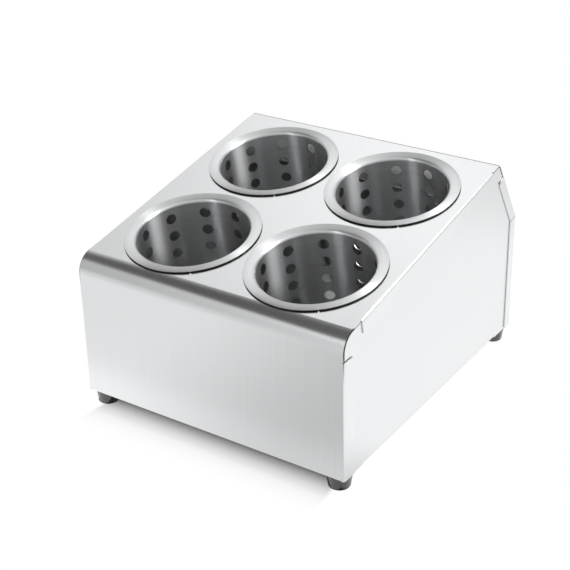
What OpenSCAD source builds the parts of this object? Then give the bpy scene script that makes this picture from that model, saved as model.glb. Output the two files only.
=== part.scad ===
// Countertop dispenser: a folded sheet steel body on four rubber feet, with a sloping
// deck that carries four lift-out perforated cylinders.
//
// Every value is in millimetres and degrees. X runs across the body, Y from the front
// to the back and Z up. The origin lies on the table, under the middle of the body.

/* [Cylinders] */
// Outside diameter of a cylinder's wall
cyl_d = 97; // [85:0.5:115]
// Height of a cylinder, rim and base included
cyl_h = 137; // [110:1:160]
// Sheet thickness of a cylinder
cyl_t = 0.8; // [0.6:0.1:1.2]
// Bend radius under the rim, where the wall turns outwards
rim_bend_r = 1.7; // [1:0.1:3]
// Width of the flat ring outside that bend
rim_flat = 7.3; // [5:0.1:9]
// Height of the base's turned-up skirt
base_skirt = 6; // [3:0.5:10]

/* [Perforation] */
// Diameter of each hole
hole_d = 9.5; // [6:0.25:12]
// Number of hole columns round a cylinder
hole_columns = 10; // [6:1:12]
// Distance between two rows of holes
row_pitch = 17.4; // [14:0.1:24]
// Distance from the top of the rim to the middle of the first row
first_row = 12.8; // [12:0.1:20]
// Least distance from the middle of the last row to the foot of the wall
last_row_margin = 16; // [14:0.5:24]
// Direction of the first column, from +X towards the back of the deck
column_angle = 8; // [0:1:35]
// Radius of the inner ring of holes in the base
base_ring_r = 17; // [15:0.5:18]
// Radius of the outer ring of holes in the base
base_ring_2_r = 34; // [31:0.5:36]

/* [Deck] */
// Slope of the deck, rising to the back
deck_slope = 10.4; // [6:0.1:14]
// Deck between the front bend and the front holes
front_land = 4.8; // [4:0.1:20]
// Deck between the front holes and the rear holes
middle_land = 19.9; // [19:0.1:40]
// Deck between the rear holes and the peak
rear_land = 15; // [12:0.1:40]
// Deck between the left holes and the right holes
centre_land = 18.2; // [18:0.1:40]
// Deck between a hole and the side of the body
side_land = 16.8; // [14:0.1:40]

/* [Body] */
// Sheet thickness of the body
sheet_t = 1; // [0.8:0.1:1.5]
// Level distance from the peak to the back
rear_run = 37; // [25:1:60]
// Height from the peak down to the top of the upright back
rear_drop = 60.5; // [40:0.5:80]
// Outside radius of the large bend at the front
front_bend_r = 16.5; // [8:0.5:24]
// Outside radius of the bend at the peak
peak_bend_r = 4; // [2:0.5:6]
// Outside radius of the bend above the upright back
knee_bend_r = 3; // [2:0.5:6]
// Outside radius of the folds along the sides of the deck and the back
side_fold_r = 2; // [1.6:0.1:3]
// Outside radius of the upright folds at the front
front_fold_r = 2; // [1.6:0.1:5]
// Distance from the outer face of the side flanges to the sheet's free side edges
edge_inset = 1; // [0:0.1:1.5]
// Outside radius of the bends along the bottom
bottom_bend_r = 2; // [1.6:0.1:3]
// Width of the side flanges of the front
front_flange = 15; // [8:0.5:20]
// Width of the side flanges of the deck
deck_flange = 12.5; // [8:0.5:16]
// Width of the side flanges of the back
rear_flange = 10; // [8:0.5:14]
// Radius of the free corners of the side flanges
flange_corner_r = 4; // [1:0.5:5]
// Distance from the front bend to the ends of the flanges beside it
front_relief = 6; // [2:0.5:12]
// Distance from the front bend to the front ends of the deck's flanges
deck_relief = 12; // [6:0.5:20]
// Distance from the peak's bend to the ends of the flanges beside it
peak_relief = 12; // [8:0.5:20]
// Depth of the bottom flanges that carry the feet
foot_flange = 28; // [26:0.5:34]
// Depth of the bottom flanges of the side panels
side_foot_flange = 12; // [8:0.5:16]

/* [Feet] */
// Height of a foot under the body
foot_h = 12; // [10:0.5:20]
// Diameter of a foot at the top
foot_top_d = 21; // [18:0.5:24]
// Diameter of a foot at the sole
foot_sole_d = 18; // [14:0.5:22]
// Rounding of the sole's edge
foot_edge_r = 1.5; // [0.5:0.1:2]
// Rubber between the screw's head and the body
foot_web = 5; // [3:0.5:7]
// Distance from a foot's axis to the side of the body
foot_inset_x = 11.5; // [11:0.5:16]
// Distance from a foot's axis to the front or the back
foot_inset_y = 11.5; // [11:0.5:18]
// Distance from the table to the lowest point of a cylinder
table_gap = 6.7; // [3:0.1:9]

/* [Fasteners] */
// Thread diameter of a foot's screw
screw_d = 5; // [4:0.5:6]
// Diameter of the screw's head
screw_head_d = 9.5; // [8:0.5:10]
// Height of the screw's head
screw_head_h = 3.2; // [2.5:0.1:4]
// Width of the driver slot's cross
driver_slot_w = 1.2; // [0.8:0.1:1.5]
// Depth of the driver slot's cross
driver_slot_depth = 1.6; // [1:0.1:2]
// Outside diameter of the washer
washer_d = 10; // [8:0.5:12]
// Thickness of the washer
washer_t = 1; // [0.5:0.1:1.5]
// Width of the nut across its flats
nut_w = 8; // [7:0.5:10]
// Height of the nut
nut_h = 4; // [3:0.5:5]
// Length of thread that shows past the nut
screw_end = 1.5; // [0.5:0.5:3]

/* [Clearances] */
// Gap between the underside of a rim and the deck
seat_gap = 0.2; // [0.1:0.05:0.3]
// Gap round the widest part of a cylinder that goes through the deck
hole_gap = 0.6; // [0.4:0.1:2]
// Gap between the side panels and the flanges welded to them
lap_gap = 0.2; // [0.1:0.05:0.3]
// Gap between the skirt of a base and the wall it is welded into
base_gap = 0.1; // [0.05:0.05:0.3]
// Gap round the screw in the rubber and the steel it goes through
screw_gap = 0.25; // [0.1:0.05:0.5]
// Gap between the screw's thread and the nut
thread_gap = 0.05; // [0.02:0.01:0.1]
// Gap round the screw's head in the foot
head_gap = 0.75; // [0.3:0.05:1]
// Width of the open mitre where two side flanges meet
mitre_gap = 0.5; // [0.3:0.1:1]
// Width of the slots that free the ends of the side folds
slot_w = 0.8; // [0.5:0.1:2]
// Gap between the bottom flanges that lie side by side
flange_gap = 2; // [1:0.5:4]

/* [Hidden] */
$fn = 64;

// A cut runs this far past the faces that it opens, and further through a curved wall
cut = 1;
wall_cut = 3;
// A side fold reaches this far into the sheet's edge, and lies this much below its face
fold_lap = 0.5;
fold_step = 0.02;
steel = [0.78, 0.79, 0.80];
bright_steel = [0.66, 0.67, 0.68];
rubber = [0.08, 0.08, 0.08];
zinc = [0.6, 0.61, 0.6];

// Cylinders, measured from the deck's surface along the cylinder's axis
cyl_r = cyl_d / 2;
cyl_inner_r = cyl_r - cyl_t;
rim_inner_r = cyl_r + rim_bend_r;
rim_top = seat_gap + cyl_t;
cyl_foot = rim_top - cyl_h;
deck_hole_r = rim_inner_r + hole_gap;
row_count = floor((cyl_h - first_row - last_row_margin) / row_pitch) + 1;
column_step = 360 / hole_columns;

// Body across
hole_x = deck_hole_r + centre_land / 2;
body_w = 2 * (hole_x + deck_hole_r + side_land);
panel_x = body_w / 2 - sheet_t - lap_gap;
foot_flange_w = 2 * (min(panel_x - sheet_t, body_w / 2 - front_fold_r) - slot_w);

// Body from the side, measured from the front face and the body's lower edge. The deck's
// plane meets the front face at front_z, where the front bend takes front_tangent of each.
front_turn = 90 - deck_slope;
front_tangent = front_bend_r * tan(front_turn / 2);
front_hole_s = front_tangent + front_land + deck_hole_r;
rear_hole_s = front_hole_s + 2 * deck_hole_r + middle_land;
rear_slope = atan2(rear_drop, rear_run);
peak_tangent = peak_bend_r * tan((deck_slope + rear_slope) / 2);
peak_s = rear_hole_s + deck_hole_r + rear_land + peak_tangent;
front_z = table_gap - foot_h - (front_hole_s - cyl_r) * sin(deck_slope) - cyl_foot * cos(deck_slope);
peak_y = peak_s * cos(deck_slope);
peak_z = front_z + peak_s * sin(deck_slope);
body_d = peak_y + rear_run;
knee_z = peak_z - rear_drop;

// Corners of the folded sheet's outer face, each with the outside radius of its bend
sheet_path = [[0, 0, bottom_bend_r], [0, front_z, front_bend_r], [peak_y, peak_z, peak_bend_r],
    [body_d, knee_z, knee_bend_r], [body_d, 0, bottom_bend_r]];
corners = len(sheet_path);
// Names of the flat runs that start at the first four corners
FRONT = 0;
DECK = 1;
SLOPE = 2;
BACK = 3;

// Feet
foot_x = body_w / 2 - foot_inset_x;
foot_y = [foot_inset_y, body_d - foot_inset_y];
foot_recess_r = screw_head_d / 2 + head_gap;
screw_hole_r = screw_d / 2 + screw_gap;
nut_bore_r = screw_d / 2 + thread_gap;
screw_l = foot_web + sheet_t + washer_t + nut_h + screw_end;

// Corners and runs are counted round the closed outline of the body
function corner(i) = let(c = sheet_path[(i + corners) % corners]) [c[0], c[1]];
function bend_r(i) = sheet_path[i % corners][2];
function run(i) = corner(i + 1) - corner(i);
function run_angle(i) = atan2(run(i)[1], run(i)[0]);
function turn(i) = (run_angle(i - 1) - run_angle(i) + 360) % 360;
function tangent(i) = bend_r(i) * tan(turn(i) / 2);
function run_length(i) = norm(run(i));

// Inward direction of a run, and the corner where two runs meet once both have moved
// inwards by d
function inward(i) = [sin(run_angle(i)), -cos(run_angle(i))];
function inset_corner(i, d) = corner(i) + d * (inward(i - 1) + inward(i)) / (1 + cos(turn(i)));

// Height of the upper end of the front's side folds
front_fold_end = run_length(FRONT) - tangent(DECK) - front_relief;

// Moves from the body's own corner, its front lower edge, to the table under its middle
module in_body() {
    translate([0, -body_d / 2, foot_h]) children();
}

// Lays its child on a run of the folded sheet: X across the body, Y along the run from
// its start, Z out of the outer face
module on_run(i) {
    in_body()
        translate([0, corner(i)[0], corner(i)[1]])
            rotate([run_angle(i), 0, 0])
                children();
}

// Stands its child in one hole of the deck, with Z along the hole's axis and Z = 0 on the
// deck. side is -1 on the left and 1 on the right; s is the hole's place up the deck.
module in_hole(side, s) {
    on_run(DECK) translate([side * hole_x, s, 0]) children();
}

// Stands its child under one foot screw, with Z = 0 on the body's lower face
module at_foot(side, y) {
    in_body() translate([side * foot_x, y, 0]) children();
}

// Folded sheet

// What a bend of inside radius r takes off a corner that lies d inside the sheet's outline
module corner_cut(i, d) {
    r = bend_r(i) - d;
    t = r * tan(turn(i) / 2);
    before = run(i - 1) / run_length(i - 1);
    after = run(i) / run_length(i);
    p = inset_corner(i, d);
    difference() {
        polygon([p - t * before, p + cut * (before - after), p + t * after,
            p - t * before + r * inward(i - 1)]);
        translate(p - t * before + r * inward(i - 1)) circle(r);
    }
}

// The body's outline from the side, d inside the sheet's outer face
module outline(d) {
    difference() {
        polygon([for (i = [0 : corners - 1]) inset_corner(i, d)]);
        for (i = [0 : corners - 1]) corner_cut(i, d);
    }
}

// The bent sheet from one free side edge to the other, open at the bottom between the
// foot flanges
module bent_sheet() {
    sheet_w = body_w - 2 * edge_inset;
    in_body()
        translate([-sheet_w / 2, 0, 0])
            rotate([90, 0, 90])
                linear_extrude(sheet_w)
                    difference() {
                        outline(0);
                        outline(sheet_t);
                        translate([foot_flange, -cut])
                            square([body_d - 2 * foot_flange, sheet_t + 2 * cut]);
                    }
}

// Clears the sheet's side edges beside the folds that run from a to b along a run
module edge_cut(i, a, b, fold_r) {
    on_run(i)
        for (side = [0, 1])
            mirror([side, 0, 0])
                translate([body_w / 2 - fold_r, a - slot_w, -sheet_t - cut])
                    cube([fold_r + cut, b - a + 2 * slot_w, sheet_t + 2 * cut]);
}

// Clears the bottom bends past the width of the foot flanges
module bottom_edge_cut() {
    in_body()
        for (side = [0, 1])
            mirror([side, 0, 0])
                translate([foot_flange_w / 2, -cut, -cut])
                    cube([body_w, body_d + 2 * cut, bottom_bend_r + slot_w + cut]);
}

// Outline of a side flange: length along the fold, depth away from it, with its free
// corners rounded where asked
module flange_outline(length, depth, round_start, round_end) {
    r = flange_corner_r;
    a = round_start ? r : 0;
    b = round_end ? r : 0;
    square([length, depth - r]);
    translate([a, 0]) square([length - a - b, depth]);
    if (round_start) translate([r, depth - r]) circle(r);
    if (round_end) translate([length - r, depth - r]) circle(r);
}

// The folded side flanges of a run, from a to b along it. Each fold starts inside the
// sheet's edge and lies fold_step below its outer face.
module side_flanges(i, a, b, depth, fold_r, round_start, round_end) {
    on_run(i)
        for (side = [0, 1])
            mirror([side, 0, 0])
                translate([body_w / 2, 0, -fold_step]) {
                    translate([-fold_r, b, -fold_r])
                        rotate([90, 0, 0])
                            linear_extrude(b - a) {
                                intersection() {
                                    difference() {
                                        circle(fold_r);
                                        circle(fold_r - sheet_t);
                                    }
                                    square(fold_r);
                                }
                                translate([-fold_lap, fold_r - sheet_t])
                                    square([fold_lap, sheet_t]);
                            }
                    translate([-sheet_t, a, -fold_r])
                        rotate([90, 0, 90])
                            linear_extrude(sheet_t)
                                mirror([0, 1])
                                    flange_outline(b - a, depth - fold_r, round_start, round_end);
                }
}

// Everything on one side of the mitre where the flanges of the slope and the back meet:
// past it with after = 1, short of it with after = 0
module beyond_mitre(after) {
    reach = 2 * rear_flange;
    on_run(BACK)
        rotate([turn(BACK) / 2, 0, 0])
            translate([-body_w, after ? -mitre_gap / 2 : mitre_gap / 2 - reach, -reach])
                cube([2 * body_w, reach, 2 * reach]);
}

module folded_body() {
    front = [slot_w, front_fold_end];
    deck = [tangent(DECK) + deck_relief, run_length(DECK) - tangent(SLOPE) - peak_relief];
    slope = [tangent(SLOPE) + peak_relief, run_length(SLOPE)];
    back = [0, run_length(BACK) - slot_w];
    color(steel)
        difference() {
            union() {
                difference() {
                    bent_sheet();
                    edge_cut(FRONT, front[0], front[1], front_fold_r);
                    edge_cut(DECK, deck[0], deck[1], side_fold_r);
                    edge_cut(SLOPE, slope[0], slope[1], side_fold_r);
                    edge_cut(BACK, back[0], back[1], side_fold_r);
                    bottom_edge_cut();
                }
                side_flanges(FRONT, front[0], front[1], front_flange, front_fold_r, false, true);
                side_flanges(DECK, deck[0], deck[1], deck_flange, side_fold_r, false, true);
                difference() {
                    side_flanges(SLOPE, slope[0], slope[1], rear_flange, side_fold_r, true, false);
                    beyond_mitre(1);
                }
                difference() {
                    side_flanges(BACK, back[0], back[1], rear_flange, side_fold_r, false, false);
                    beyond_mitre(0);
                }
            }
            for (side = [-1, 1]) {
                for (s = [front_hole_s, rear_hole_s])
                    in_hole(side, s)
                        translate([0, 0, -sheet_t - cut])
                            cylinder(r = deck_hole_r, h = sheet_t + 2 * cut);
                for (y = foot_y)
                    at_foot(side, y)
                        translate([0, 0, -cut])
                            cylinder(r = screw_hole_r, h = sheet_t + 2 * cut);
            }
        }
}

// Side panels

// Outline of a side panel from the side. Its edges stop where the folds round them begin,
// and reach closer to the front bend, past the end of the front's fold.
module panel_outline() {
    d = side_fold_r;
    flange_start = foot_flange + flange_gap;
    flange_end = body_d - flange_start;
    difference() {
        polygon([[d, 0], inset_corner(DECK, d), inset_corner(SLOPE, d), inset_corner(BACK, d),
            [body_d - d, 0], [flange_end, 0], [flange_end, bottom_bend_r],
            [flange_start, bottom_bend_r], [flange_start, 0]]);
        for (i = [DECK, SLOPE, BACK]) corner_cut(i, d);
        translate([0, -cut]) square([front_fold_r, front_fold_end + slot_w + cut]);
    }
}

// The right side panel. Its bottom flange lies between the two that carry the feet.
module side_panel() {
    flange_start = foot_flange + flange_gap;
    flange_l = body_d - 2 * flange_start;
    in_body() {
        translate([panel_x - sheet_t, 0, 0])
            rotate([90, 0, 90])
                linear_extrude(sheet_t)
                    panel_outline();
        translate([panel_x - bottom_bend_r, flange_start + flange_l, bottom_bend_r])
            rotate([90, 0, 0])
                linear_extrude(flange_l)
                    intersection() {
                        difference() {
                            circle(bottom_bend_r);
                            circle(bottom_bend_r - sheet_t);
                        }
                        translate([0, -bottom_bend_r]) square(bottom_bend_r);
                    }
        translate([panel_x - side_foot_flange, flange_start, 0])
            cube([side_foot_flange - bottom_bend_r, flange_l, sheet_t]);
    }
}

module side_panel_left() {
    color(steel) mirror([1, 0, 0]) side_panel();
}

module side_panel_right() {
    color(steel) side_panel();
}

// Cylinders

// Wall, bend and flat rim of a cylinder as one formed sheet
module formed_wall() {
    bend_z = seat_gap - rim_bend_r;
    rotate_extrude()
        union() {
            translate([cyl_inner_r, cyl_foot]) square([cyl_t, bend_z - cyl_foot]);
            translate([rim_inner_r, bend_z])
                intersection() {
                    difference() {
                        circle(rim_bend_r + cyl_t);
                        circle(rim_bend_r);
                    }
                    translate([-rim_bend_r - cyl_t, 0]) square(rim_bend_r + cyl_t);
                }
            translate([rim_inner_r, seat_gap]) square([rim_flat, cyl_t]);
        }
}

module perforated_cylinder() {
    color(bright_steel)
        difference() {
            formed_wall();
            for (row = [0 : row_count - 1], column = [0 : hole_columns - 1])
                translate([0, 0, rim_top - first_row - row * row_pitch])
                    rotate([0, 90, column_angle + column * column_step])
                        translate([0, 0, cyl_inner_r - wall_cut])
                            cylinder(d = hole_d, h = cyl_t + 2 * wall_cut);
        }
}

// Base of a cylinder: a perforated disc whose skirt is welded inside the wall
module perforated_base() {
    r = cyl_inner_r - base_gap;
    color(bright_steel)
        translate([0, 0, cyl_foot])
            difference() {
                cylinder(r = r, h = base_skirt);
                translate([0, 0, cyl_t]) cylinder(r = r - cyl_t, h = base_skirt);
                for (ring = [[0, 1], [base_ring_r, 6], [base_ring_2_r, 12]], k = [1 : ring[1]])
                    rotate([0, 0, k * 360 / ring[1]])
                        translate([ring[0], 0, -cut])
                            cylinder(d = hole_d, h = cyl_t + 2 * cut);
            }
}

module cylinder_front_left() {
    in_hole(-1, front_hole_s) perforated_cylinder();
}

module cylinder_front_right() {
    in_hole(1, front_hole_s) perforated_cylinder();
}

module cylinder_rear_left() {
    in_hole(-1, rear_hole_s) perforated_cylinder();
}

module cylinder_rear_right() {
    in_hole(1, rear_hole_s) perforated_cylinder();
}

module base_front_left() {
    in_hole(-1, front_hole_s) perforated_base();
}

module base_front_right() {
    in_hole(1, front_hole_s) perforated_base();
}

module base_rear_left() {
    in_hole(-1, rear_hole_s) perforated_base();
}

module base_rear_right() {
    in_hole(1, rear_hole_s) perforated_base();
}

// Feet and their fasteners

// Tapered rubber foot with a bore for the screw and a recess for its head
module foot() {
    color(rubber)
        translate([0, 0, -foot_h])
            difference() {
                union() {
                    translate([0, 0, foot_edge_r])
                        cylinder(d1 = foot_sole_d, d2 = foot_top_d, h = foot_h - foot_edge_r);
                    cylinder(r = foot_sole_d / 2 - foot_edge_r, h = foot_h / 2);
                    translate([0, 0, foot_edge_r])
                        rotate_extrude()
                            translate([foot_sole_d / 2 - foot_edge_r, 0])
                                circle(foot_edge_r);
                }
                translate([0, 0, -cut]) cylinder(r = screw_hole_r, h = foot_h + 2 * cut);
                translate([0, 0, -cut]) cylinder(r = foot_recess_r, h = foot_h - foot_web + cut);
            }
}

// Pan-head screw, pushed up through the foot
module foot_screw() {
    head_top = -foot_web;
    color(zinc)
        difference() {
            union() {
                translate([0, 0, head_top]) cylinder(d = screw_d, h = screw_l);
                translate([0, 0, head_top - screw_head_h]) cylinder(d = screw_head_d, h = screw_head_h);
            }
            for (turned = [0, 90])
                translate([0, 0, head_top - screw_head_h])
                    rotate([0, 0, turned])
                        cube([screw_head_d / 2, driver_slot_w, 2 * driver_slot_depth], center = true);
        }
}

module foot_washer() {
    color(zinc)
        translate([0, 0, sheet_t])
            difference() {
                cylinder(d = washer_d, h = washer_t);
                translate([0, 0, -cut]) cylinder(r = screw_hole_r, h = washer_t + 2 * cut);
            }
}

module foot_nut() {
    color(zinc)
        translate([0, 0, sheet_t + washer_t])
            difference() {
                cylinder(d = nut_w / cos(30), h = nut_h, $fn = 6);
                translate([0, 0, -cut]) cylinder(r = nut_bore_r, h = nut_h + 2 * cut);
            }
}

module foot_front_left() {
    at_foot(-1, foot_y[0]) foot();
}

module foot_front_right() {
    at_foot(1, foot_y[0]) foot();
}

module foot_rear_left() {
    at_foot(-1, foot_y[1]) foot();
}

module foot_rear_right() {
    at_foot(1, foot_y[1]) foot();
}

module screw_front_left() {
    at_foot(-1, foot_y[0]) foot_screw();
}

module screw_front_right() {
    at_foot(1, foot_y[0]) foot_screw();
}

module screw_rear_left() {
    at_foot(-1, foot_y[1]) foot_screw();
}

module screw_rear_right() {
    at_foot(1, foot_y[1]) foot_screw();
}

module washer_front_left() {
    at_foot(-1, foot_y[0]) foot_washer();
}

module washer_front_right() {
    at_foot(1, foot_y[0]) foot_washer();
}

module washer_rear_left() {
    at_foot(-1, foot_y[1]) foot_washer();
}

module washer_rear_right() {
    at_foot(1, foot_y[1]) foot_washer();
}

module nut_front_left() {
    at_foot(-1, foot_y[0]) foot_nut();
}

module nut_front_right() {
    at_foot(1, foot_y[0]) foot_nut();
}

module nut_rear_left() {
    at_foot(-1, foot_y[1]) foot_nut();
}

module nut_rear_right() {
    at_foot(1, foot_y[1]) foot_nut();
}

folded_body();
side_panel_left();
side_panel_right();
cylinder_front_left();
cylinder_front_right();
cylinder_rear_left();
cylinder_rear_right();
base_front_left();
base_front_right();
base_rear_left();
base_rear_right();
foot_front_left();
foot_front_right();
foot_rear_left();
foot_rear_right();
screw_front_left();
screw_front_right();
screw_rear_left();
screw_rear_right();
washer_front_left();
washer_front_right();
washer_rear_left();
washer_rear_right();
nut_front_left();
nut_front_right();
nut_rear_left();
nut_rear_right();
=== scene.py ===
# %% [markdown]
# # Cutlery dispenser
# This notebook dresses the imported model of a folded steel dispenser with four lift-out
# cylinders. The frame comes first: every part of it already stands in its place, in metres,
# so each new piece is modelled straight at the same coordinates and nothing is fitted by eye.

# %% Load the frame
import math

import bpy
from mathutils import Matrix, Vector


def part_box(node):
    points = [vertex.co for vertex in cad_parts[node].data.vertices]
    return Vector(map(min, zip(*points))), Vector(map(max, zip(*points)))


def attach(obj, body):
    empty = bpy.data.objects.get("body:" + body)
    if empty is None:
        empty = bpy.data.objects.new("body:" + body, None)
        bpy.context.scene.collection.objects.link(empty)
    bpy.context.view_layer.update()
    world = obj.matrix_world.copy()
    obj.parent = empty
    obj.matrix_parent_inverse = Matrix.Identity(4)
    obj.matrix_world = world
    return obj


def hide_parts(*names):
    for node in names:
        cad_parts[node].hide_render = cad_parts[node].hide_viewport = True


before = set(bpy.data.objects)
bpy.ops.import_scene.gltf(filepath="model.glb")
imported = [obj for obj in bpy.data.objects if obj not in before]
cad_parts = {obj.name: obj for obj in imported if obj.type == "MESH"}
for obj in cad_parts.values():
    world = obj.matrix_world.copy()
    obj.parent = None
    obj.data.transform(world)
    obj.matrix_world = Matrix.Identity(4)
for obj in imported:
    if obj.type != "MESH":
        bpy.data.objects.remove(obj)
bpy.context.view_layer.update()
MM = 0.001

# %% [markdown]
# Three small helpers serve every material. Colours are picked as sRGB hex codes, as a paint
# shop would give them, but a shader wants linear light, so one function converts them.
# Another adds a shader node, sets it up and links it in a single line, and the last starts
# an empty material.

# %% Helpers for colours and shader nodes
def linear(code):
    """An sRGB hex code as the linear colour that a shader reads."""
    parts = [int(code[k:k + 2], 16) / 255 for k in (1, 3, 5)]
    return [p / 12.92 if p <= 0.04045 else ((p + 0.055) / 1.055) ** 2.4 for p in parts] + [1.0]


def add(tree, kind, links=None, values=None, **settings):
    """Adds a node, sets its properties and socket values, and links sockets to its inputs."""
    node = tree.nodes.new(kind)
    for name, value in settings.items():
        setattr(node, name, value)
    for socket, value in (values or {}).items():
        node.inputs[socket].default_value = value
    for socket, source in (links or {}).items():
        tree.links.new(source, node.inputs[socket])
    return node


def new_material(name):
    """An empty node material: the material, its node tree and the output node."""
    material = bpy.data.materials.new(name)
    material.use_nodes = True
    tree = material.node_tree
    tree.nodes.clear()
    output = add(tree, "ShaderNodeOutputMaterial")
    return material, tree, output


WHITE = (1, 1, 1, 1)
print("mid grey #808080 is", round(linear("#808080")[0], 3), "in linear light")

# %% [markdown]
# The camera stands in front of the right-hand corner and looks down on the deck. Its place
# was worked out from the straight edges and the round rims: with the right distance they
# all line up at once. A slight shift of the lens keeps the upright edges nearly parallel, as
# a product photographer would.

# %% Camera
FRAME_PX = 570
SENSOR_MM = 36
AZIMUTH, ELEVATION, ROLL = 34.079, 24.967, -1.131
TARGET_MM = (-58.51, 55.34, 100.63)
DISTANCE_MM = 1222.7
FOCAL_PX = 1338.5
CENTRE_PX = (285, 228)


def place_camera():
    """A camera at the given distance from its target, turned to look at it."""
    a, e = math.radians(AZIMUTH), math.radians(ELEVATION)
    back = Vector((math.sin(a) * math.cos(e), -math.cos(a) * math.cos(e), math.sin(e)))
    data = bpy.data.cameras.new("camera")
    camera = bpy.data.objects.new("camera", data)
    bpy.context.scene.collection.objects.link(camera)
    place = Matrix.Translation(Vector(TARGET_MM) * MM + back * DISTANCE_MM * MM)
    turn = (-back).to_track_quat("-Z", "Y").to_matrix().to_4x4()
    camera.matrix_world = place @ turn @ Matrix.Rotation(math.radians(ROLL), 4, "Z")
    data.sensor_width = SENSOR_MM
    data.lens = FOCAL_PX / FRAME_PX * data.sensor_width
    data.shift_x = (FRAME_PX / 2 - CENTRE_PX[0]) / FRAME_PX
    data.shift_y = (CENTRE_PX[1] - FRAME_PX / 2) / FRAME_PX
    data.clip_start = 0.05
    data.clip_end = 50
    bpy.context.scene.camera = camera
    return camera


camera = place_camera()
print("camera at", [round(v, 3) for v in camera.matrix_world.translation],
      "lens", round(camera.data.lens, 1), "mm")

# %% [markdown]
# ## Studio
# Brushed steel has hardly any colour of its own: it shows what stands round it. So the
# studio matters as much as the finish. The object stands on a white paper sweep, which is
# part of the studio and not of the object.

# %% Paper sweep
SWEEP_SIZE = 14

scene = bpy.context.scene
scene.view_settings.view_transform = "Standard"
bpy.ops.object.select_all(action="DESELECT")
bpy.ops.mesh.primitive_plane_add(size=SWEEP_SIZE, location=(0, 0, 0))
floor = bpy.context.active_object
floor.name = "paper_sweep"
print("the floor lies at z =", floor.location.z)

# %% [markdown]
# The paper glows a little where the camera or a reflection sees it, which makes the
# background white while the object still casts its soft shadow. Under the body the
# reflected glow is off, as real paper is in shade there, and it fades in front of the body
# and to its right, where a studio has its dark ends. The tables say where.

# %% Where the paper is bright
# How bright a reflection finds the paper: axis, from, to, value at from, value at to
FADES = {
    "across": ("X", -0.165, 0.075, 1.0, 0.68),
    "near_front": ("Y", -0.17, -0.215, 1.20, 1.0),
    "far_front": ("Y", -0.36, -0.56, 1.0, 0.80),
    "ahead": ("Y", -0.06, -0.14, 0.0, 1.0),
    "aside": ("X", 0.13, 0.20, 1.0, 0.0),
    "behind": ("Y", 0.30, 0.44, 1.15, 1.0),
    "right_side": ("X", 0.11, 0.14, 0.72, 1.0),
    "far_right": ("X", 0.28, 0.50, 1.0, 0.74),
    "under": ("Y", 0.06, 0.11, 0.08, 1.0),
}
# Half the width and half the depth of the patch that lies in the body's shade
SHADED_X, SHADED_Y = 0.125, 0.144
# Where the camera begins to see white paper beside and behind the body, and sees it whole
WHITE_BESIDE = (0.106, 0.118)
WHITE_BEHIND = (0.095, 0.150)
# What the camera sees in front of the body: place on Y in mm and share of white
WHITE_IN_FRONT = ((-129, 0.0), (-146, 0.62), (-157, 0.84), (-173, 0.94), (-190, 1.0))
print(len(FADES), "fades on the paper")

# %% [markdown]
# A material can tell what kind of ray asks for it: that is what the Light Path node is for.
# A reflection gets the glow. The camera gets matt paper with the shadow on it, and pure
# white further off. All other light meets plain matt paper.

# %% Matt paper
def mirrored_paper(tree, axis, wide):
    """The strength with which a reflection sees the paper."""
    fade = {name: add(tree, "ShaderNodeMapRange", {"Value": axis.outputs[along]},
                      {"From Min": start, "From Max": end, "To Min": low, "To Max": high},
                      interpolation_type="SMOOTHSTEP").outputs["Result"]
            for name, (along, start, end, low, high) in FADES.items()}
    front, back = fade["across"], fade["behind"]
    for name in ("far_front", "near_front"):
        front = add(tree, "ShaderNodeMath", {0: front, 1: fade[name]},
                    operation="MULTIPLY").outputs[0]
    for name in ("right_side", "far_right"):
        back = add(tree, "ShaderNodeMath", {0: back, 1: fade[name]},
                   operation="MULTIPLY").outputs[0]
    in_front = add(tree, "ShaderNodeMath", {0: fade["ahead"], 1: fade["aside"]},
                   operation="MULTIPLY")
    bright = add(tree, "ShaderNodeMix", {"Factor": in_front.outputs[0], "A": back, "B": front},
                 data_type="FLOAT")
    # Under the body the paper lies in shade, but for what comes in below the back
    deep = add(tree, "ShaderNodeMath", {0: axis.outputs["Y"]}, operation="ABSOLUTE")
    lit = fade["under"]
    for distance, edge in ((wide, SHADED_X), (deep, SHADED_Y)):
        outside = add(tree, "ShaderNodeMath", {0: distance.outputs[0]}, {1: edge},
                      operation="GREATER_THAN")
        lit = add(tree, "ShaderNodeMath", {0: lit, 1: outside.outputs[0]},
                  operation="MAXIMUM").outputs[0]
    return add(tree, "ShaderNodeMath", {0: bright.outputs["Result"], 1: lit},
               operation="MULTIPLY").outputs[0]


def white_share(tree, axis, wide):
    """How much of the paper the camera sees as pure white: 0 in the object's shadow."""
    share = None
    for source, (start, end) in ((wide.outputs[0], WHITE_BESIDE),
                                 (axis.outputs["Y"], WHITE_BEHIND)):
        off = add(tree, "ShaderNodeMapRange", {"Value": source},
                  {"From Min": start, "From Max": end}, interpolation_type="SMOOTHSTEP")
        share = off.outputs["Result"] if share is None else add(
            tree, "ShaderNodeMath", {0: share, 1: off.outputs["Result"]},
            operation="MAXIMUM").outputs[0]
    places = [place * MM for place, white in WHITE_IN_FRONT]
    ahead = add(tree, "ShaderNodeMapRange", {"Value": axis.outputs["Y"]},
                {"From Min": places[0], "From Max": places[-1]})
    in_front = add(tree, "ShaderNodeValToRGB", {"Fac": ahead.outputs["Result"]})
    for k, (place, white) in enumerate(WHITE_IN_FRONT):
        along = (place * MM - places[0]) / (places[-1] - places[0])
        stops = in_front.color_ramp.elements
        stop = stops[0] if k == 0 else stops.new(along) if k < len(places) - 1 else stops[-1]
        stop.position = along
        stop.color = (white, white, white, 1.0)
    return add(tree, "ShaderNodeMath", {0: share, 1: in_front.outputs["Color"]},
               operation="MAXIMUM").outputs[0]


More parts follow.
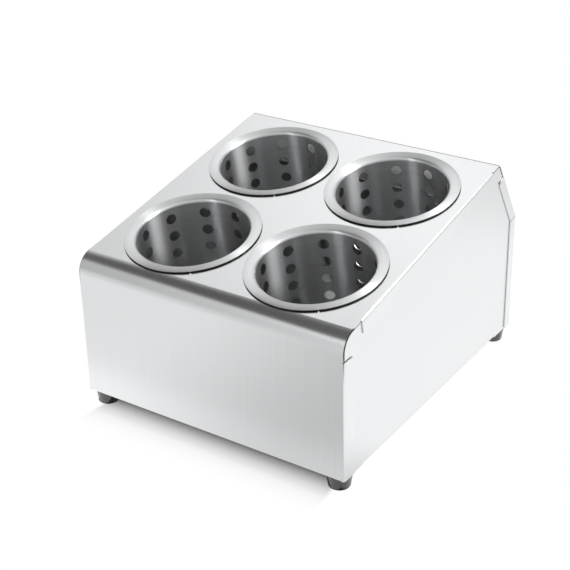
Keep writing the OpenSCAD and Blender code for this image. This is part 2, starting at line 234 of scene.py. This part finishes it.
def paper():
    """White uncoated paper: it scatters light evenly and has no gloss at all."""
    material, tree, output = new_material("white_matt_paper")
    ray = add(tree, "ShaderNodeLightPath")
    place = add(tree, "ShaderNodeTexCoord")
    axis = add(tree, "ShaderNodeSeparateXYZ", {"Vector": place.outputs["Object"]})
    wide = add(tree, "ShaderNodeMath", {0: axis.outputs["X"]}, operation="ABSOLUTE")
    mirrored = add(tree, "ShaderNodeEmission", {"Strength": mirrored_paper(tree, axis, wide)},
                   {"Color": WHITE})
    seen = add(tree, "ShaderNodeMath",
               {0: white_share(tree, axis, wide), 1: ray.outputs["Is Camera Ray"]},
               operation="MULTIPLY")
    matt = add(tree, "ShaderNodeBsdfDiffuse", values={"Color": linear("#F4F4F4")})
    white = add(tree, "ShaderNodeEmission", values={"Color": WHITE, "Strength": 1.0})
    direct = add(tree, "ShaderNodeMixShader",
                 {0: seen.outputs[0], 1: matt.outputs[0], 2: white.outputs[0]})
    total = add(tree, "ShaderNodeMixShader",
                {0: ray.outputs["Is Glossy Ray"], 1: direct.outputs[0], 2: mirrored.outputs[0]})
    tree.links.new(total.outputs[0], output.inputs["Surface"])
    return material


floor.data.materials.append(paper())
print("the floor has", floor.data.materials[0].name)

# %% [markdown]
# The room is a pale tent with a dark opening overhead. The sloping deck and the sides
# reflect the pale walls, while the upper half of the large front bend looks up into the
# opening and goes dark. That one dark band tells the eye that the edge is round.
# A tent could be built from planes, but a world that reads the direction of a ray does the
# same and leaves nothing in the way of the camera. In the table, X, Y and Z are the parts
# of that direction.

# %% Tent
# How the tent changes: axis, from, to, value at from, value at to, how it passes over
TENT = {
    "right_of_opening": ("X", -0.34, -0.16, 0.0, 0.30, "SMOOTHSTEP"),
    "side": ("X", -0.66, -0.42, 0.62, 1.07, "SMOOTHSTEP"),
    "depth": ("Y", -0.70, 0.40, 0.80, 1.32, "LINEAR"),
    "left_end": ("X", -0.34, -0.18, 0.30, 0.66, "LINEAR"),
    "behind": ("Y", 0.66, 0.78, 1.0, 1.0, "SMOOTHSTEP"),
    "low": ("Z", 0.66, 0.80, 0.70, 1.0, "SMOOTHSTEP"),
    "right_part": ("X", -0.30, -0.10, 0.0, 1.0, "LINEAR"),
}
# The pale wall and the dark opening: how far up a ray looks, and the colour there
OPENING = ((0.67, "#FDFDFD"), (0.74, "#585858"))
# Looking towards the back counts as looking a little less far up
OPENING_TILT = -0.10
# The share of the tent's light that falls on paper and rubber
TENT_ON_PAPER = 0.35


def studio_tent():
    """A world that metal sees in full, other surfaces dimly and the camera as white."""
    world = bpy.data.worlds.new("studio_tent")
    world.use_nodes = True
    tree = world.node_tree
    tree.nodes.clear()
    output = add(tree, "ShaderNodeOutputWorld")
    ray = add(tree, "ShaderNodeLightPath")
    direction = add(tree, "ShaderNodeTexCoord")
    axis = add(tree, "ShaderNodeSeparateXYZ", {"Vector": direction.outputs["Generated"]})
    part = {name: add(tree, "ShaderNodeMapRange", {"Value": axis.outputs[along]},
                      {"From Min": start, "From Max": end, "To Min": low, "To Max": high},
                      interpolation_type=passing)
            for name, (along, start, end, low, high, passing) in TENT.items()}
    # The opening lies overhead and to the left, so that folds on the right stay bright
    up = add(tree, "ShaderNodeMath", {0: axis.outputs["Y"], 2: axis.outputs["Z"]},
             {1: OPENING_TILT}, operation="MULTIPLY_ADD")
    up = add(tree, "ShaderNodeMath",
             {0: up.outputs[0], 1: part["right_of_opening"].outputs["Result"]},
             operation="SUBTRACT")
    walls = add(tree, "ShaderNodeValToRGB", {"Fac": up.outputs[0]})
    for k, (height, code) in enumerate(OPENING):
        walls.color_ramp.elements[k].position = height
        walls.color_ramp.elements[k].color = linear(code)
    # Behind on the left it ends, and the bend at the top of the back draws a grey line there
    tree.links.new(part["left_end"].outputs["Result"], part["behind"].inputs["To Max"])
    # Only the left part is bright low down, so that the back and its slope keep some grey
    low = add(tree, "ShaderNodeMix",
              {"Factor": part["right_part"].outputs["Result"], "B": part["low"].outputs["Result"]},
              {"A": 1.0}, data_type="FLOAT")
    glossy = add(tree, "ShaderNodeMapRange", {"Value": ray.outputs["Is Glossy Ray"]},
                 {"To Min": TENT_ON_PAPER, "To Max": 1.0})
    strength = part["side"]
    for factor in (part["depth"], part["behind"], low, glossy):
        strength = add(tree, "ShaderNodeMath",
                       {0: strength.outputs[0], 1: factor.outputs["Result"]},
                       operation="MULTIPLY")
    tent = add(tree, "ShaderNodeBackground",
               {"Color": walls.outputs["Color"], "Strength": strength.outputs[0]})
    white = add(tree, "ShaderNodeBackground", values={"Color": WHITE, "Strength": 1.0})
    shown = add(tree, "ShaderNodeMixShader",
                {0: ray.outputs["Is Camera Ray"], 1: tent.outputs[0], 2: white.outputs[0]})
    tree.links.new(shown.outputs[0], output.inputs["Surface"])
    return world


scene.world = studio_tent()
print("world", scene.world.name, "with", len(scene.world.node_tree.nodes), "nodes")

# %% [markdown]
# Three softboxes add what the tent can't. The one overhead gives the soft shadow under the
# body, and polished metal doesn't see it. The other two are only seen in the metal: they
# draw the long pale streaks down the inside of the cylinders. The ray visibility of each
# lamp says which of the two it does.

# %% Softboxes
LAMP_AIM = (0, 0, 0.1)


def softbox(name, size, place, watts, on_metal, on_paper):
    """A rectangular area lamp at a place, turned to the object."""
    data = bpy.data.lights.new(name, "AREA")
    data.shape = "RECTANGLE"
    data.size, data.size_y = size
    data.energy = watts
    lamp = bpy.data.objects.new(name, data)
    scene.collection.objects.link(lamp)
    lamp.visible_glossy = on_metal
    lamp.visible_diffuse = on_paper
    turn = (Vector(LAMP_AIM) - Vector(place)).to_track_quat("-Z", "Y").to_matrix().to_4x4()
    lamp.matrix_world = Matrix.Translation(place) @ turn
    print(name, watts, "W")


softbox("softbox_overhead", (0.5, 0.45), (0.0, 0.13, 2.0), 34, on_metal=False, on_paper=True)
softbox("softbox_front", (0.3, 0.7), (-0.35, -1.5, 1.25), 1.5, on_metal=True, on_paper=False)
softbox("softbox_right", (0.7, 0.7), (1.4, 0.6, 1.4), 32, on_metal=True, on_paper=False)

# %% [markdown]
# ## Steel
# The body is austenitic stainless sheet with a brushed finish: a belt has drawn fine
# scratches along it, so a light smears out across the scratches. The scratches are about
# 0.1 mm apart, too fine for the picture, and are drawn at 0.45 mm. Each pattern is noise
# that is stretched: it changes fast across the scratches and slowly along them.

# %% Brushing
GRAIN = 0.45 * MM
SCRATCH = 60 * MM


def grain(tree, vector, lengths, detail):
    """Noise with a length of its own along X, Y and Z, in metres."""
    stretch = add(tree, "ShaderNodeMapping", {"Vector": vector},
                  {"Scale": [1 / length for length in lengths]})
    return add(tree, "ShaderNodeTexNoise", {"Vector": stretch.outputs["Vector"]},
               {"Scale": 1.0, "Detail": detail, "Roughness": 0.6})


print("scratches", round(GRAIN / MM, 2), "mm apart and about", round(SCRATCH / MM), "mm long")

# %% [markdown]
# The side panels are spot-welded behind the body's narrow flanges. Each weld leaves a
# shallow round dent in the flange. Modelled, a dent of a tenth of a millimetre would need
# many small faces, so it is a bump at the weld's place. The same place seen from the side
# also lies on the deck or the front, so the bump is kept to faces as far out as a flange.

# %% Spot welds
WELD_R = 2.8 * MM
WELD_EDGE = 0.9 * MM
FLANGE_X = 127.5 * MM
FLANGE_SKIN = 0.4 * MM
# Places on Y and Z in mm
WELDS = [(-16.4, 154.0), (41.3, 164.7), (81.1, 175.6), (-135.2, 63.7), (-132.5, 24.5),
         (125.1, 158.9), (138.5, 56.2)]


def side_distance(tree, source):
    """How far a point lies from the middle plane of the body."""
    x = add(tree, "ShaderNodeSeparateXYZ", {"Vector": source}).outputs["X"]
    return add(tree, "ShaderNodeMath", {0: x}, operation="ABSOLUTE").outputs[0]


def weld_marks(tree, source):
    """A value that rises from 0 to 1 inside each round spot weld."""
    flat = add(tree, "ShaderNodeVectorMath", {0: source}, {1: (0, 1, 1)}, operation="MULTIPLY")
    total = None
    for y, z in WELDS:
        away = add(tree, "ShaderNodeVectorMath", {0: flat.outputs["Vector"]},
                   {1: (0, y * MM, z * MM)}, operation="DISTANCE")
        mark = add(tree, "ShaderNodeMapRange", {"Value": away.outputs["Value"]},
                   {"From Min": WELD_R, "From Max": WELD_R - WELD_EDGE},
                   interpolation_type="SMOOTHSTEP").outputs["Result"]
        total = mark if total is None else add(
            tree, "ShaderNodeMath", {0: total, 1: mark}, operation="MAXIMUM").outputs[0]
    # Only the outer faces of the flanges carry them
    outer = add(tree, "ShaderNodeMath", {0: side_distance(tree, source)},
                {1: FLANGE_X - FLANGE_SKIN}, operation="GREATER_THAN")
    return add(tree, "ShaderNodeMath", {0: total, 1: outer.outputs[0]},
               operation="MULTIPLY").outputs[0]


print(len(WELDS), "welds on each side")

# %% [markdown]
# At the large front bend the sheet has no flange. Its end shows there, as the laser cut it.
# The end is found by its place, on the bend and at the sheet's edge, and is painted dark:
# painted shade for the line of shade in the gap beside the side panel. The painted shade
# fades out downwards, where the front's own flange begins.

# %% Painted shade at the cut end of the front bend
SHEET_END_X = 126.5 * MM
END_SKIN = 0.35 * MM
BEND_END_Y = -131 * MM
GAP_SHADE_FROM_Z, GAP_SHADE_FULL_Z = 98 * MM, 124 * MM
# The colour of the painted shade on the cut end
PAINTED_GAP_SHADE = "#3C3D3E"


def painted_gap_shade(tree, source):
    """1 on the cut end of the front bend, where shade is painted; 0 elsewhere."""
    off_end = add(tree, "ShaderNodeMath", {0: side_distance(tree, source)}, {1: SHEET_END_X},
                  operation="SUBTRACT")
    off_end = add(tree, "ShaderNodeMath", {0: off_end.outputs[0]}, operation="ABSOLUTE")
    on_end = add(tree, "ShaderNodeMath", {0: off_end.outputs[0]}, {1: END_SKIN},
                 operation="LESS_THAN")
    place = add(tree, "ShaderNodeSeparateXYZ", {"Vector": source})
    on_bend = add(tree, "ShaderNodeMath", {0: place.outputs["Y"]}, {1: BEND_END_Y},
                  operation="LESS_THAN")
    above = add(tree, "ShaderNodeMapRange", {"Value": place.outputs["Z"]},
                {"From Min": GAP_SHADE_FROM_Z, "From Max": GAP_SHADE_FULL_Z})
    shaded = add(tree, "ShaderNodeMath", {0: on_end.outputs[0], 1: on_bend.outputs[0]},
              operation="MULTIPLY")
    return add(tree, "ShaderNodeMath", {0: shaded.outputs[0], 1: above.outputs["Result"]},
               operation="MULTIPLY").outputs[0]


print("the raw end shows from z =", round(GAP_SHADE_FROM_Z / MM), "mm upwards")

# %% [markdown]
# One recipe makes every steel here, because all of it was brushed or rolled. The fine
# pattern, mixed with a broader one, moves the colour and the roughness a little and raises
# a very low relief. The flat sheets read the object's own coordinates. On the folded body
# the scratches run along the sheet, up the front and over the deck, and on the side panels
# they stand upright. A round piece brings a UV map instead, and its gloss is stretched
# round it.

# %% Steel
BROAD = 9
BROAD_SHARE = 0.25
TONE_DARK, TONE_PALE = 0.30, 0.62
ROUGH_FROM, ROUGH_TO = 0.3, 0.7
RELIEF = 0.05 * MM
DENT_DEPTH = 0.12 * MM
QUARTER_TURN = 0.25


def brushed_steel(name, code, dark_code, roughness, lengths, anisotropic=0.0, uv=None,
                  bump=0.12, vary=0.03, welds_and_gap_shade=False):
    """Brushed stainless steel. lengths are the pattern's along X, Y and Z, in metres."""
    material, tree, output = new_material(name)
    if uv:
        source = add(tree, "ShaderNodeUVMap", uv_map=uv).outputs["UV"]
    else:
        source = add(tree, "ShaderNodeTexCoord").outputs["Object"]
    fine = grain(tree, source, lengths, detail=4.0)
    broad = grain(tree, source, [length * BROAD for length in lengths], detail=2.0)
    blend = add(tree, "ShaderNodeMix", {"A": fine.outputs["Fac"], "B": broad.outputs["Fac"]},
                {"Factor": BROAD_SHARE}, data_type="FLOAT").outputs["Result"]
    tone = add(tree, "ShaderNodeValToRGB", {"Fac": blend})
    for k, (place, shade) in enumerate(((TONE_DARK, dark_code), (TONE_PALE, code))):
        tone.color_ramp.elements[k].position = place
        tone.color_ramp.elements[k].color = linear(shade)
    colour = tone.outputs["Color"]
    rough = add(tree, "ShaderNodeMapRange", {"Value": blend},
                {"From Min": ROUGH_FROM, "From Max": ROUGH_TO,
                 "To Min": roughness + vary, "To Max": roughness - vary})
    relief = add(tree, "ShaderNodeBump", {"Height": fine.outputs["Fac"]},
                 {"Strength": bump, "Distance": RELIEF})
    if welds_and_gap_shade:
        relief = add(tree, "ShaderNodeBump",
                     {"Height": weld_marks(tree, source), "Normal": relief.outputs["Normal"]},
                     {"Strength": 0.5, "Distance": DENT_DEPTH}, invert=True)
        # Painted shade: the cut end of the front bend is darkened for the line of shade in the gap
        # beside the side panel
        colour = add(tree, "ShaderNodeMix", {"Factor": painted_gap_shade(tree, source), "A": colour},
                     {"B": linear(PAINTED_GAP_SHADE)}, data_type="RGBA").outputs["Result"]
    links = {"Base Color": colour, "Roughness": rough.outputs["Result"],
             "Normal": relief.outputs["Normal"]}
    if uv:
        links["Tangent"] = add(tree, "ShaderNodeTangent", direction_type="UV_MAP",
                               uv_map=uv).outputs["Tangent"]
    shader = add(tree, "ShaderNodeBsdfPrincipled", links,
                 {"Metallic": 1.0, "Anisotropic": anisotropic,
                  "Anisotropic Rotation": QUARTER_TURN if uv else 0.0})
    tree.links.new(shader.outputs[0], output.inputs["Surface"])
    return material


body_sheet = brushed_steel("brushed_stainless_body", "#E3E4E5", "#E0E1E2", 0.23,
                           (GRAIN, SCRATCH, SCRATCH), bump=0.02, vary=0.008, welds_and_gap_shade=True)
panel_sheet = brushed_steel("brushed_stainless_panels", "#E3E4E5", "#E0E1E2", 0.25,
                            (SCRATCH, GRAIN, SCRATCH), bump=0.02, vary=0.008)
print(body_sheet.name, "and", panel_sheet.name)

# %% [markdown]
# The feet are black natural rubber, moulded: nearly black, with a fine uneven skin from the
# mould, and a thin gloss that new rubber has where a lamp reaches it. The screws, washers
# and nuts are steel with bright zinc, slightly blue-grey, with the faint bloom that the
# zinc bath leaves.

# %% Rubber and zinc
RUBBER_SKIN = 0.6 * MM
RUBBER_RELIEF = 0.08 * MM
ZINC_BLOOM = 1.5 * MM


def moulded_rubber():
    material, tree, output = new_material("moulded_black_rubber")
    place = add(tree, "ShaderNodeTexCoord")
    skin = add(tree, "ShaderNodeTexNoise", {"Vector": place.outputs["Object"]},
               {"Scale": 1 / RUBBER_SKIN, "Detail": 3.0})
    tone = add(tree, "ShaderNodeValToRGB", {"Fac": skin.outputs["Fac"]})
    tone.color_ramp.elements[0].color = linear("#2A2A2A")
    tone.color_ramp.elements[1].color = linear("#434344")
    relief = add(tree, "ShaderNodeBump", {"Height": skin.outputs["Fac"]},
                 {"Strength": 0.3, "Distance": RUBBER_RELIEF})
    shader = add(tree, "ShaderNodeBsdfPrincipled",
                 {"Base Color": tone.outputs["Color"], "Normal": relief.outputs["Normal"]},
                 {"Roughness": 0.32, "IOR": 1.52, "Coat Weight": 1.0, "Coat Roughness": 0.15})
    tree.links.new(shader.outputs[0], output.inputs["Surface"])
    return material


def bright_zinc():
    material, tree, output = new_material("bright_zinc_plated_steel")
    place = add(tree, "ShaderNodeTexCoord")
    bloom = add(tree, "ShaderNodeTexNoise", {"Vector": place.outputs["Object"]},
                {"Scale": 1 / ZINC_BLOOM, "Detail": 3.0})
    tone = add(tree, "ShaderNodeValToRGB", {"Fac": bloom.outputs["Fac"]})
    tone.color_ramp.elements[0].color = linear("#B9BCC0")
    tone.color_ramp.elements[1].color = linear("#D3D5D8")
    rough = add(tree, "ShaderNodeMapRange", {"Value": bloom.outputs["Fac"]},
                {"To Min": 0.28, "To Max": 0.42})
    shader = add(tree, "ShaderNodeBsdfPrincipled",
                 {"Base Color": tone.outputs["Color"], "Roughness": rough.outputs["Result"]},
                 {"Metallic": 1.0})
    tree.links.new(shader.outputs[0], output.inputs["Surface"])
    return material


rubber = moulded_rubber()
zinc = bright_zinc()
print(rubber.name, "and", zinc.name)

# %% [markdown]
# ## Cylinders
# Each cylinder is sheet, rolled to a tube and welded, with the top edge turned outwards to
# a flat rim. It could be one lathe profile, but the way a sheet worker makes it is easier
# to follow: start with a ring at the foot, pull it up to the wall's height, then fold it
# outwards step by step round the bend. The rim rises half a millimetre outwards, as a
# pressed rim does. The sheet gets its thickness at the end. The cylinder is made once,
# standing upright at the origin, and each copy is laid into its hole.

# %% Wall and rim
WALL_R = 47.7 * MM
FOOT_Z = -136.0 * MM
RIM_TOP = 1.0 * MM
RIM_DISH = 0.5 * MM
RIM_R = 57.5 * MM
BEND_R = 2.5 * MM
BEND_Z = RIM_TOP - BEND_R
BEND_STEPS = 6
WALL_POINTS = 144


def select_only(*objects):
    bpy.ops.object.select_all(action="DESELECT")
    for o in objects:
        o.select_set(True)
    bpy.context.view_layer.objects.active = objects[-1]


def pull(dz, radius, new_radius):
    """In edit mode, extrudes the selected ring upwards and to a new radius."""
    bpy.ops.mesh.extrude_region_move(TRANSFORM_OT_translate={"value": (0, 0, dz)})
    share = new_radius / radius
    if new_radius != radius:
        bpy.ops.transform.resize(value=(share, share, 1), center_override=(0, 0, 0))


def formed_wall():
    """The wall, bend and flat rim of one cylinder, open at the foot."""
    bpy.ops.object.select_all(action="DESELECT")
    bpy.ops.mesh.primitive_circle_add(vertices=WALL_POINTS, radius=WALL_R,
                                      fill_type="NOTHING", location=(0, 0, FOOT_Z))
    wall = bpy.context.active_object
    wall.name = "cylinder_wall"
    bpy.ops.object.transform_apply(location=True, rotation=True, scale=True)
    bpy.ops.object.mode_set(mode="EDIT")
    bpy.ops.mesh.select_all(action="SELECT")
    pull(BEND_Z - FOOT_Z, WALL_R, WALL_R)
    radius, z = WALL_R, BEND_Z
    for k in range(1, BEND_STEPS + 1):
        turn = math.pi / 2 * k / BEND_STEPS
        new_radius = WALL_R + BEND_R * (1 - math.cos(turn))
        new_z = BEND_Z + BEND_R * math.sin(turn)
        pull(new_z - z, radius, new_radius)
        radius, z = new_radius, new_z
    pull(RIM_DISH, radius, RIM_R)
    bpy.ops.object.mode_set(mode="OBJECT")
    return wall


wall = formed_wall()
print("wall", len(wall.data.vertices), "vertices")

# %% [markdown]
# A surface has no thickness, so Solidify grows the sheet outwards and downwards from the
# side that shows. A small bevel takes the sharpness off the rim's outer edge: no real edge
# is perfectly sharp, and the bevel is what catches a thin line of light.

# %% Thickness and edge
SHEET = 0.8 * MM
RIM_BEVEL = 0.25 * MM
TINY = 0.01 * MM


def give_thickness(wall):
    select_only(wall)
    bpy.ops.object.mode_set(mode="EDIT")
    bpy.ops.mesh.select_all(action="SELECT")
    bpy.ops.mesh.normals_make_consistent(inside=False)
    bpy.ops.object.mode_set(mode="OBJECT")
    low = min(wall.data.polygons, key=lambda f: f.center.z)
    inward = low.normal.x * low.center.x + low.normal.y * low.center.y < 0
    thick = wall.modifiers.new("sheet", "SOLIDIFY")
    thick.thickness = SHEET
    thick.offset = -1 if inward else 1
    thick.use_even_offset = True
    bpy.ops.object.modifier_apply(modifier=thick.name)
    bpy.ops.object.mode_set(mode="EDIT")
    bpy.ops.mesh.select_all(action="SELECT")
    bpy.ops.mesh.normals_make_consistent(inside=False)
    bpy.ops.mesh.select_all(action="DESELECT")
    bpy.ops.object.mode_set(mode="OBJECT")


def bevel_rim(wall):
    """Rounds the two edges that run round the outside of the rim."""
    for edge in wall.data.edges:
        a, b = (wall.data.vertices[i].co for i in edge.vertices)
        at_rim = min(a.xy.length, b.xy.length) > RIM_R - TINY
        edge.select = at_rim and abs(a.z - b.z) < TINY
    bpy.ops.object.mode_set(mode="EDIT")
    bpy.ops.mesh.select_mode(type="EDGE")
    bpy.ops.mesh.bevel(offset=RIM_BEVEL, offset_type="OFFSET", segments=2, affect="EDGES")
    bpy.ops.mesh.select_mode(type="VERT")
    bpy.ops.object.mode_set(mode="OBJECT")


give_thickness(wall)
bevel_rim(wall)
radii = [v.co.xy.length / MM for v in wall.data.vertices]
print("radius from", round(min(radii), 2), "to", round(max(radii), 2), "mm")

# %% [markdown]
# The wall is punched with seven rows of ten holes. One round punch is modelled, copied to
# all places and joined, and a single Boolean takes the holes out. A shader could fake them
# with transparency, but then no light would pass through and no edge would show. When all
# copies lie in place, the first punch is made narrow and laid at the rim, where it cuts the
# small relief notch in the edge.

# %% Holes
HOLE_R = 4.75 * MM
HOLE_POINTS = 24
PUNCH_LENGTH = 8 * MM
# Rows in mm below the rim's top, columns in degrees round the cylinder
FIRST_ROW, ROW_STEP, ROW_COUNT = 12.8, 17.4, 7
FIRST_COLUMN, COLUMN_STEP, COLUMN_COUNT = 8, 36, 10
ROWS = [RIM_TOP - (FIRST_ROW + ROW_STEP * row) * MM for row in range(ROW_COUNT)]
COLUMNS = [math.radians(FIRST_COLUMN + COLUMN_STEP * k) for k in range(COLUMN_COUNT)]
NOTCH_R = 0.8 * MM
NOTCH_ANGLE = math.radians(-56)


def all_punches():
    """One object that holds a punch at every hole and the narrow one at the notch."""
    bpy.ops.object.select_all(action="DESELECT")
    bpy.ops.mesh.primitive_cylinder_add(vertices=HOLE_POINTS, radius=HOLE_R,
                                        depth=PUNCH_LENGTH, location=(0, 0, 0))
    first = bpy.context.active_object
    first.name = "punch"
    lying = Matrix.Rotation(math.pi / 2, 4, "Y")
    punches = []
    for z in ROWS:
        for angle in COLUMNS:
            punch = first.copy()
            punch.data = first.data.copy()
            scene.collection.objects.link(punch)
            on_wall = Matrix.Rotation(angle, 4, "Z") @ Matrix.Translation((WALL_R, 0, z))
            punch.data.transform(on_wall @ lying)
            punches.append(punch)
    at_rim = Matrix.Rotation(NOTCH_ANGLE, 4, "Z") @ Matrix.Translation((RIM_R, 0, RIM_TOP))
    narrow = Matrix.Diagonal((NOTCH_R / HOLE_R, NOTCH_R / HOLE_R, 1, 1))
    first.data.transform(at_rim @ narrow)
    select_only(*punches, first)
    bpy.ops.object.join()
    return bpy.context.active_object


def punch_holes(wall):
    punches = all_punches()
    select_only(wall)
    cut = wall.modifiers.new("holes", "BOOLEAN")
    cut.operation = "DIFFERENCE"
    cut.object = punches
    cut.solver = "EXACT"
    bpy.ops.object.modifier_apply(modifier=cut.name)
    bpy.data.objects.remove(punches)


punch_holes(wall)
print(len(ROWS) * len(COLUMNS), "holes,", len(wall.data.polygons), "faces")

# %% [markdown]
# Turned and rolled parts are brushed round their axis. A UV map carries that direction:
# U runs round the cylinder and V runs up the wall and out over the rim, both in metres.
# The map has one seam, and that is where the real tube is welded.

# %% Brushing direction
SMOOTH_BELOW = math.radians(32)


def map_brushing(mesh):
    layer = mesh.uv_layers.new(name="brushing")
    for face in mesh.polygons:
        middle = math.atan2(face.center.y, face.center.x)
        for loop in face.loop_indices:
            co = mesh.vertices[mesh.loops[loop].vertex_index].co
            angle = math.atan2(co.y, co.x)
            angle += 2 * math.pi * round((middle - angle) / (2 * math.pi))
            up = (co.z - FOOT_Z) + max(0.0, co.xy.length - WALL_R - SHEET)
            layer.data[loop].uv = (angle * WALL_R, up)
    mesh.uv_layers.active = layer


map_brushing(wall.data)
select_only(wall)
bpy.ops.object.shade_smooth_by_angle(angle=SMOOTH_BELOW)
print("brushing map on", len(wall.data.loops), "corners")

# %% [markdown]
# Three finishes meet on a cylinder. The wall keeps the dull grey of the rolled tube, as
# nobody polishes it, and its colour is darkened further as painted shade, as little light
# comes down to it. The rim is brushed with a finer belt and shines. Its outer edge and its
# underside are as the shears left them, rougher, and their dark colour is painted shade for
# the dark line of shade between the rim and the deck. In these patterns the first length
# lies along U and the second along V.

# %% Finishes of a cylinder
ROUND = (25 * MM, 0.5 * MM, 1.0)
# The wall's grey is partly the rolled tube's duller finish and partly painted shade for its dim
# inside
FINISHES = [brushed_steel("rolled_wall_with_painted_shade", "#C6C7C8", "#B0B1B2", 0.33, ROUND,
                          anisotropic=0.95, uv="brushing", bump=0.05),
            brushed_steel("fine_brushed_stainless_rim", "#E6E7E8", "#D8D9DA", 0.33, ROUND,
                          anisotropic=0.95, uv="brushing", bump=0.05),
            # Painted shade: the sheared edge and underside are darkened for the line of shade
            # under the rim
            brushed_steel("sheared_edge_with_painted_shade", "#5A5B5C", "#4A4B4C", 0.50, ROUND,
                          anisotropic=0.0, uv="brushing", bump=0.10)]
WALL, RIM, EDGE = range(3)
EDGE_WIDTH = 0.3 * MM
# How far up a face's normal points: on an underside, and at most on an upright edge
UNDERSIDE, UPRIGHT = -0.5, 0.6


def finish_faces(mesh):
    """Gives each face the finish of the wall, the rim or the sheared edge with its painted shade.
    """
    mesh.materials.clear()
    for finish in FINISHES:
        mesh.materials.append(finish)
    for face in mesh.polygons:
        radius, z = face.center.xy.length, face.center.z
        # The rim's underside and outer edge get the dark finish, which is painted shade for the
        # gap under the rim
        under = z > BEND_Z and face.normal.z < UNDERSIDE and radius > WALL_R + BEND_R
        outer = radius > RIM_R - EDGE_WIDTH and abs(face.normal.z) < UPRIGHT
        face.material_index = EDGE if under or outer else RIM if z > BEND_Z - TINY else WALL


finish_faces(wall.data)
print("faces of wall, rim and edge:",
      [sum(f.material_index == k for f in wall.data.polygons) for k in (WALL, RIM, EDGE)])

# %% [markdown]
# Four copies go into the four holes of the deck. Each is turned back by the deck's slope
# and moved to the middle of its hole. Turn and place go into the mesh, and the object
# stays at the origin, as the frame's own objects do, so that everything moves alike when a
# cylinder is lifted out. Each copy rides on its cylinder's body and stands for the plain
# solid there, and is compared with that solid's box.

# %% Cylinders in their holes
DECK_SLOPE = math.radians(10.4)
# The middle of each hole on the deck's upper face, in mm
HOLES = {"front_left": (-59.9, -77.858, 149.221), "front_right": (59.9, -77.858, 149.221),
         "rear_left": (-59.9, 41.646, 171.154), "rear_right": (59.9, 41.646, 171.154)}
for corner, place in HOLES.items():
    piece = wall.copy()
    piece.data = wall.data.copy()
    piece.name = "drum_" + corner
    scene.collection.objects.link(piece)
    in_hole = Matrix.Translation(Vector(place) * MM) @ Matrix.Rotation(DECK_SLOPE, 4, "X")
    piece.data.transform(in_hole)
    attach(piece, "cylinder_" + corner)
    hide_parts("cylinder_" + corner)
    low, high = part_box("cylinder_" + corner)
    points = [v.co for v in piece.data.vertices]
    my_low = Vector([min(p[k] for p in points) for k in range(3)])
    my_high = Vector([max(p[k] for p in points) for k in range(3)])
    off = max((my_low - low).length, (my_high - high).length)
    print(piece.name, "is off its solid by", round(off / MM, 2), "mm")
bpy.data.objects.remove(wall)

# %% [markdown]
# ## Parts of the frame
# The sheets, bases, feet and fasteners have the right shape already. They keep it, and get
# their finish alone. The bases are the discs in the foot of each cylinder, punched from
# a duller sheet that is brushed in one direction.

# %% Finishes of the frame's own parts
base_sheet = brushed_steel("brushed_stainless_bases", "#CFD0D1", "#B4B5B6", 0.30,
                           (25 * MM, 0.5 * MM, 25 * MM))
for name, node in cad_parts.items():
    if name == "folded_body":
        use = body_sheet
    elif name.startswith("side_panel"):
        use = panel_sheet
    elif name.startswith(("cylinder", "base")):
        use = base_sheet
    elif name.startswith("foot"):
        use = rubber
    else:
        use = zinc
    node.data.materials.clear()
    node.data.materials.append(use)
    print(name, "->", use.name)
